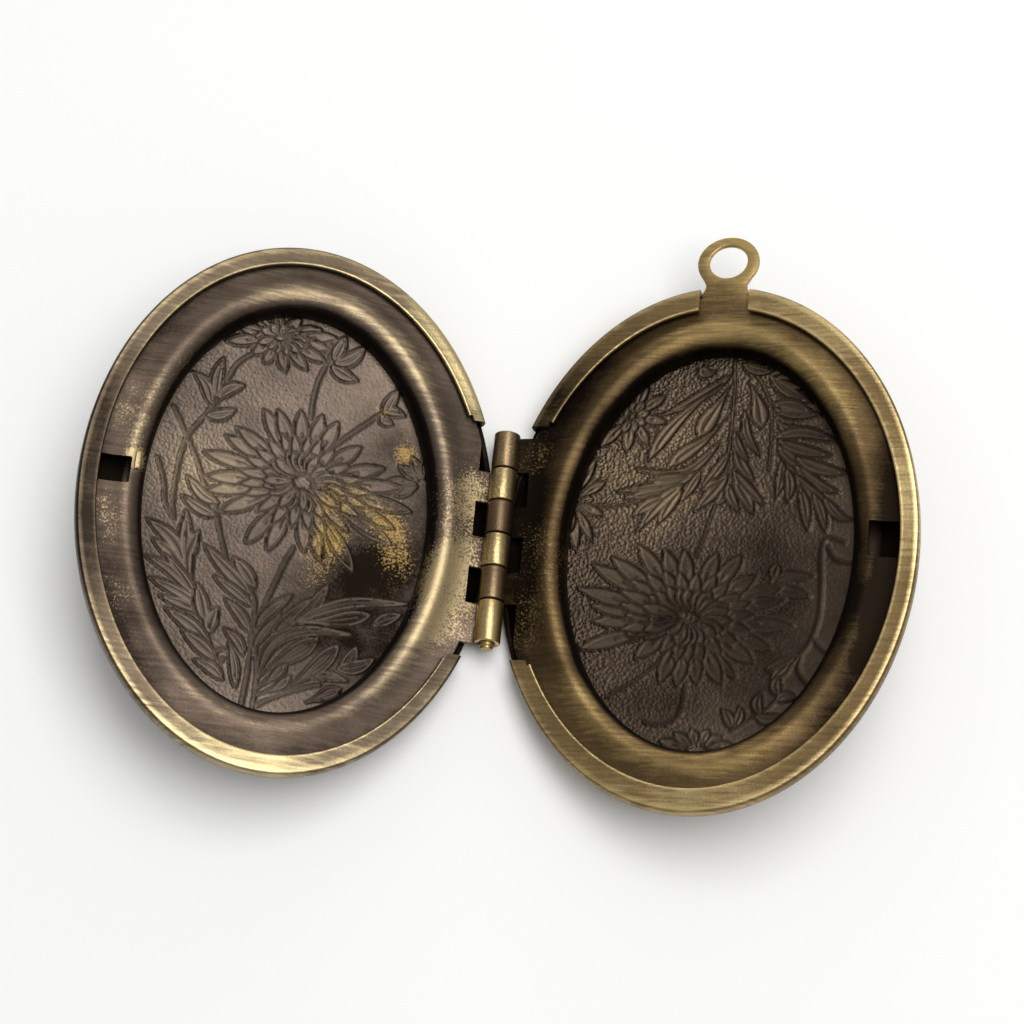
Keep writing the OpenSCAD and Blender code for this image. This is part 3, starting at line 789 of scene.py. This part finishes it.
# The bead's inner edge along the hinge side is rubbed bright and carries a painted highlight, in 20
# small marks.
rubbed_edge_highlight = [(-10.8 * math.cos(turn), 15.6 * math.sin(turn), 0.7, 0.2)
    for turn in np.linspace(-0.55, 0.5, 20)]
tarnish_and_painted_light(back_plate, 1, wear_and_painted_light=0.14, marks=[(0, 17, 7, 0.35), (9, 13, 6, 0.35), (0, -17, 8, 0.4),
    (-9, -13, 4, 0.3), (-15, 14, 6, -0.2), (13, -6, 6, -0.3), (13, 3, 4, -0.12), (-14, 0, 5, -0.3),
    (0.5, 23.5, 3.5, 0.9), (-15.6, 7, 1.8, 0.14), (-15.6, 1.7, 1.6, 0.3), (-15.6, -3.4, 1.6, 0.3)]
    + rubbed_edge_highlight, flaked=[(-13, 7, 2, 0.3), (-12, 1, 3, 0.2), (-12.5, -6, 3, 0.2),
    (-11, -3, 4, 0.12), (10, -12, 4, 0.1)], painted_light_and_wear=plate_shade_and_wear)
# A dark brown flat, worn to brassy gold on the bead, at the ends and on the bail.
back_plate.data.materials.append(antique_brass("antique_brass_plate_brown", oxide_and_shade="#1C150F",
    patina="#665337", rubbed="#B89D66", flake="#857045", streaks=0.45, grain=0.2, polish=0.36))
rub_knuckles(back_plate)
lay(back_plate, "back_half")
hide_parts("back_plate")

# Front shell
# The other half's pressing: its lip is narrower and runs on past the bail, and its
# floor has another drawing, with the bloom high and leaves fanned out below it.
FRONT_BLOOM = [(-6.4, 3.4), (-5, 5), (-4.3, 5.8), (-2.5, 7.6), (-1.5, 7.8), (0.2, 8.1), (1.8, 8.1),
    (3, 7.8), (4.9, 6.2), (6.8, 4.9), (8.3, 3.6), (9.1, 1.9), (8, 0.4), (7.9, -0.8), (5.4, -3.3),
    (3, -3), (1.8, -2.6), (-0.9, -3), (-2.5, -2.8), (-4.6, -0.8), (-5.9, 0.5), (-6, 1.6)]
FRONT_DRAWING = [
    ("stem", STEM, [(-3.4, 12, -4.9, 10.9, -5.5, 9.2, -6, 7.4, -7, 5.6, -7.8, 4.3, -8.1, 2,
        -8.1, -1, -7.8, -2)]),
    ("stem", STEM, [(-9, 6.3, -7.8, 4.4, -6.8, 2.8, -6, 0.9, -5, -0.2, -4.6, -1.8, -3.7, -4.2)]),
    ("stem", STEM, [(-9.6, 2.2, -8.8, 0.4, -8.7, -0.9, -7.9, -2)]),
    ("leaf", 0.9, [(-6.3, 7, -6.9, 8.6, -8, 9.2), (-6.1, 7.6, -6.3, 9.2, -6, 10.8),
        (-6, 7.6, -5.4, 8.6, -4.2, 9.1), (-6.7, 6.2, -5.6, 6.4, -4.6, 7.1)]),
    ("leaf", 0.9, [(-4.8, -0.2, -6, 0, -7.3, 1.3), (-4.8, -1.2, -6, -1, -7.5, -0.2)]),
    ("leaf", 1.2, [(-6.1, -6.6, -6.7, -4.4, -7, -1.2), (-6.5, -5.4, -7.6, -3.6, -9.7, -2.5),
        (-6.5, -5, -6.5, -3.8, -5.9, -2.6), (-6.4, -6.2, -7.6, -4.6, -9.1, -3.9)]),
    ("leaf", 0.9, [(-5.2, -7.8, -6.8, -6, -8.1, -4.8), (-5.6, -7.4, -7.4, -5.8, -9.4, -5.3),
        (-5, -8.2, -6.6, -7.4, -8.9, -6.8), (-5, -8.6, -6.2, -8.2, -8, -8)]),
    ("leaf", 1.1, [(-4.6, -9.2, -5, -8, -5.5, -6.5), (-4.2, -10, -4.3, -9, -3.8, -8)]),
    ("leaf", 1.1, [(-4, -10.8, -5.6, -9.6, -7.5, -8.8)]),
    ("leaf", 1.1, [(-3.4, -11.9, -4.8, -10.9, -6.1, -10.2)]),
    ("leaf", 0.9, [(-2.8, -13.2, -3.8, -12.4, -5, -12.2)]),
    ("stem", STEM, [(-2.4, -11.5, -2.7, -11, -3.4, -11, -3.7, -11.6, -3.2, -12, -2.9, -11.6)]),
    ("stem", STEM, [(-3.4, -4.4, -2.2, -5.6, -1.3, -6.6, -1.1, -8, -1.2, -10, -1.1, -12,
        -1.3, -14.8)]),
    ("leaf", 1.1, [(-1.5, -6.6, -3.2, -5.3, -5.4, -3.5), (-1.4, -6, -2.2, -5, -3.2, -4)]),
    ("leaf", 0.8, [(-1.4, -7.4, -2.8, -6.5, -4.4, -5.7)]),
    ("leaf", 0.8, [(-1.3, -9.4, -2.1, -8.2, -3.4, -7.2)]),
    ("leaf", 0.8, [(-1.6, -11.2, -2, -10.2, -3.2, -9.4)]),
    ("leaf", 0.7, [(-1.9, -13.6, -2.1, -12, -2.7, -10.4)]),
    ("stem", STEM, [(1, -2.4, 0.5, -3.6, 0, -5.4, -0.5, -7, -0.9, -9)]),
    ("leaf", 0.8, [(-1, -9, -0.3, -7.6, 1.3, -6)]),
    ("leaf", 0.7, [(-1, -10.4, -0.4, -9.2, 0.7, -7.5)]),
    ("leaf", 0.8, [(0.4, -9, 1.6, -7.6, 2.6, -6.1)]),
    ("leaf", 0.8, [(1.6, -8, 2.9, -6.8, 3.8, -4.8)]),
    ("leaf", 0.6, [(2, -7.8, 4, -6.4, 6, -5.6, 9.6, -5.2)]),
    ("bud", 0.9, [(2.2, -7.9, 4.4, -7.4, 7, -6.5)]),
    ("leaf", 0.7, [(-0.4, -12.4, 0, -10.4, 1.2, -9, 3, -8.3, 5.8, -8.2)]),
    ("bud", 1.1, [(-0.4, -12.6, 1, -11.2, 2.4, -10, 3.5, -8.9)]),
    ("bud", 0.8, [(-0.4, -13.4, 0.6, -12.5, 1.5, -11.2)]),
    ("bud", 0.8, [(-0.2, -13.8, 1, -13.2, 1.9, -12.1)]),
    ("bud", 1, [(1.4, -13.4, 2.9, -11.9, 4, -10.7, 5, -9.2)]),
    ("leaf", 0.6, [(3.4, -11.9, 4.6, -11.5, 5.9, -11.7)]),
    ("bud", 0.9, [(3.2, -13.8, 4.2, -13.2, 5.5, -12.4)]),
    ("stem", STEM, [(-0.2, -14.6, 0.7, -13.9, 2.5, -12.9, 4, -12.3)]),
    ("leaf", 0.8, [(5.4, -11, 6, -10.2, 6.3, -9.1)]),
    ("leaf", 0.8, [(5.2, -10.9, 6.6, -10.6, 7.6, -9.8)]),
    ("leaf", 0.7, [(7.4, -7.2, 8.2, -6.6, 9.2, -6.1)]),
    ("stem", STEM, [(-0.5, -14.8, -0.4, -12.6, -0.8, -10.4)]),
    ("stem", STEM, [(1, 7.6, 0.95, 9.6, 1.3, 11.4, 1.9, 12.6, 1.5, 14)]),
    ("leaf", 1, [(1.9, 12, 3, 11.4, 4, 11.3), (2, 12.2, 3.2, 12.6, 4.2, 13.9),
        (2, 12.4, 2.3, 13.4, 2.7, 14.4)]),
    ("stem", STEM, [(2.2, 5, 3.4, 6.4, 4.9, 7.9, 6.4, 9.4)]),
    ("leaf", 0.8, [(6.2, 9, 6.6, 10, 7.1, 11.1), (6.2, 9.2, 7, 9.4, 7.8, 9.2),
        (6.4, 9, 6.2, 8.6, 7, 8.4)])]
FRONT_DRAWING += bloom((-2.2, 13.3), [(-6, 12.1), (-5.4, 13.4), (-4.4, 14.6), (-2.6, 15.2),
    (-0.8, 15), (0.8, 14.6), (2, 14.2), (1.6, 13.2), (1.5, 12.2), (0.2, 11.3), (-1.4, 10.8),
    (-3, 11.1), (-4, 11.6)], 0.85, ((1, 0.2), (0.55, 0.12)))
FRONT_DRAWING += bloom((9.7, 4.2), [(7.2, 4), (7.9, 5.3), (8.8, 6.1), (9.8, 6.4), (7.9, 2.9)], 0.6,
    ((1, 0.2),))
FRONT_DRAWING += bloom((1, 2.7), FRONT_BLOOM, 1.05)


def front_ground(spots):
    """Fine, even pebbling, coarser at the left."""
    return np.clip(0.25 - spots[:, 0] / 60, 0.1, 0.4)


front_shell = press_shell("front_shell_stamped", lip=1.45, wider=0.38, bail_gap=False)
refine(front_shell, facing=1, radius=FLOOR_R, cuts=4)
refine(front_shell, facing=-1, radius=BACK_R, cuts=1)
stamp(front_shell, -1, FRONT_DRAWING, front_ground)
# Two of the floor's dark marks, at 7, 7.5 and at 8.5, -9, are partly painted shade of the plate's
# turned-down wall and partly a dark patch.
tarnish_and_painted_light(front_shell, -1, wear_and_painted_light=0.45, marks=[(0, -19.5, 5, 0.35), (12, 14, 6, 0.45), (-15, 5, 5, -0.35),
    (-15, -5, 6, -0.4), (5, -8, 6, -0.34), (7, -2, 3, -0.2), (10, 4.5, 4, -0.22), (10.5, -2, 4, -0.16),
    (7, 7.5, 3, -0.16), (8.5, -9, 3, -0.15), (-8, 2, 4, 0.26), (0, 19.5, 5, -0.06), *hinge_shade(-1)],
    flaked=[(7.5, 0.8, 2.2, 0.4), (8.8, -2.4, 2, 0.36), (8.2, 6.4, 1.3, 0.45), (3.6, -1.6, 1.8, 0.45),
    (3, 1.4, 1.8, 0.35), (4.4, 3.2, 1.6, 0.25), (3, -4.4, 2, 0.3), (6.4, 9.3, 1.2, 0.35)],
    painted_light_and_wear=shell_shade_and_highlight)
# A greyer lip and outside than the back half's, and a grey-brown floor with golden spots
# where the oxide has flaked off.
lip_grey = antique_brass("antique_brass_lip_grey", oxide_and_shade="#2C251E", patina="#6E604E",
    rubbed="#C6B384", flake="#C7A566", streaks=0.5, grain=0.2, polish=0.34)
floor_grey = antique_brass("oxidised_brass_floor_grey", oxide_and_shade="#1A140E", patina="#6C5F54",
    rubbed="#9A886B", flake="#8F7646", streaks=0.1, grain=0.25, polish=0.4)
inside_finish(front_shell, lip_grey, floor_grey)
smooth_faces(front_shell, 60)
lay(front_shell, "front_half")
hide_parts("front_shell")

# Front plate
# The other plate: its knuckles fill the gaps between the back plate's, and a small
# tongue is pinched up at the inner edge of its catch slot.
TONGUE_PLACE, TONGUE_SIZE = (26.5, 0.8, -0.52), (0.4, 1.5, 0.82)
TONGUE_LEAN, TONGUE_TAPER = 0.2, 0.1

front_plate = press_plate("front_plate_rolled", first_knuckle=1, slot=2)
clear()
bpy.ops.mesh.primitive_cube_add(size=1, location=TONGUE_PLACE, scale=TONGUE_SIZE)
tongue = bpy.context.object
bpy.ops.object.transform_apply(location=True, rotation=False, scale=True)
# Its top leans towards the opening and is narrower than its foot.
for v in tongue.data.vertices:
    if v.co.z > TONGUE_PLACE[2]:
        v.co.x -= TONGUE_LEAN
        v.co.y += TONGUE_TAPER if v.co.y < TONGUE_PLACE[1] else -TONGUE_TAPER
apply(tongue, "BEVEL", width=0.07, segments=3, limit_method="NONE")
union(front_plate, tongue)
smooth_faces(front_plate, 35)
tarnish_and_painted_light(front_plate, -1, wear_and_painted_light=0.31, marks=[(11, -7, 5, 0.3), (-11, -10, 6, -0.2), (-11, 12, 5, -0.1),
    (0, 18, 5, 0.12), (7, 14, 4, 0.15)], flaked=[(13, 3.2, 3, 0.52), (12.6, -3, 3.4, 0.5),
    (11.5, -7, 3, 0.35), (-11, -9, 4, 0.2), (-12.3, 4, 2.5, 0.24), (-12.6, -3, 2.5, 0.26),
    (-9, 8, 3, 0.22), (-11.35, 0.9, 0.8, 0.9)], painted_light_and_wear=plate_shade_and_wear)
# Grey-brown with a pale brassy bead, peppered with bright spots towards the hinge.
front_plate.data.materials.append(antique_brass("antique_brass_plate_grey", oxide_and_shade="#261F1A",
    patina="#6C5D50", rubbed="#CDB98C", flake="#B09C76", streaks=0.4, grain=0.2, polish=0.36))
rub_knuckles(front_plate)
lay(front_plate, "front_half")
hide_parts("front_plate")

# Hinge pin
# Hard brass wire pushed through the six knuckles, with its lower end cut and upset.
PIN_R = 0.53
PIN_FOOT, PIN_TOP = -7.85, 8.4
# Each of the two steps that end its foot, and how much narrower the second one is.
PIN_STEP, PIN_SHOULDER = 0.22, 0.09

clear()
bpy.ops.mesh.primitive_cylinder_add(vertices=48, radius=PIN_R, depth=PIN_TOP - PIN_FOOT,
    location=(0, (PIN_FOOT + PIN_TOP) / 2, 0), rotation=(math.radians(90), 0, 0))
pin = bpy.context.object
pin.name = pin.data.name = "hinge_pin_wire"
bpy.ops.object.transform_apply(location=True, rotation=True, scale=True)
edit(pin, "FACE")
pick(pin, "polygons", lambda face: face.center.y < PIN_FOOT + 0.05)
bpy.ops.mesh.extrude_region_move(TRANSFORM_OT_translate={"value": (0, -PIN_STEP, 0)})
bpy.ops.mesh.inset(thickness=PIN_SHOULDER)
bpy.ops.mesh.extrude_region_move(TRANSFORM_OT_translate={"value": (0, -PIN_STEP, 0)})
clear()
break_edges(pin, 0.05)
smooth_faces(pin, 40)
tarnish_and_painted_light(pin, 1, wear_and_painted_light=0.7, marks=[], flaked=[], painted_light_and_wear=lambda r, height, up: 0)
# Drawn wire, worn bright all over.
pin.data.materials.append(antique_brass("brass_pin_wire", oxide_and_shade="#1E1711", patina="#6A573B",
    rubbed="#C2A972", flake="#C7A566", streaks=0.3, grain=0.2, polish=0.32))
lay(pin, "back_half")
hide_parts("hinge_pin")

# Floor, light and camera
# A plain pale table top under the locket, a broad soft lamp overhead towards the
# camera's side, and the photograph's own viewpoint.
clear()
bpy.ops.mesh.primitive_plane_add(size=3, location=(0, 0, cad_box[0][2]))
table_top = bpy.context.object
table_top.name = table_top.data.name = "table_top"
paper = bpy.data.materials.new("pale_paper")
paper.use_nodes = True
matt = paper.node_tree.nodes["Principled BSDF"]
matt.inputs["Base Color"].default_value = linear("#F4F4F2")
matt.inputs["Roughness"].default_value = 0.9
table_top.data.materials.append(paper)


def lamp(name, place, wide, deep, radiance):
    """A rectangular soft lamp aimed at the locket."""
    bpy.ops.object.light_add(type="AREA", location=place)
    made = bpy.context.object
    made.name = name
    made.data.shape = "RECTANGLE"
    made.data.size = wide
    made.data.size_y = deep
    made.data.energy = radiance * math.pi * wide * deep
    made.rotation_euler = (-Vector(place)).to_track_quat("-Z", "Y").to_euler()


lamp("overhead_softbox", place=(0.1, 0.035, 0.45), wide=0.56, deep=0.27, radiance=3.9)
lamp("back_strip", place=(0, 0.45, 0.1), wide=0.6, deep=0.15, radiance=1.8)
world = bpy.data.worlds.new("studio")
bpy.context.scene.world = world
world.use_nodes = True
world.node_tree.nodes["Background"].inputs["Color"].default_value = (1, 1, 1, 1)
world.node_tree.nodes["Background"].inputs["Strength"].default_value = 0.4
bpy.context.scene.view_settings.view_transform = "Standard"

# The camera's place and aim are fitted to both ovals, the knuckles and the bail.
bpy.ops.object.camera_add()
camera = bpy.context.object
camera.name = "photo_camera"
camera.data.lens = 91.406
camera.data.sensor_width = 36
camera.data.clip_start = 0.01
eye = (0.003944, -0.070534, 0.176071)
across = Vector((0.99561, 0.091554, 0.019461))
back = Vector((0.016386, -0.375196, 0.926801))
aim = Matrix((across, back.cross(across), back)).transposed().to_4x4()
camera.matrix_world = Matrix.Translation(eye) @ aim
bpy.context.scene.camera = camera
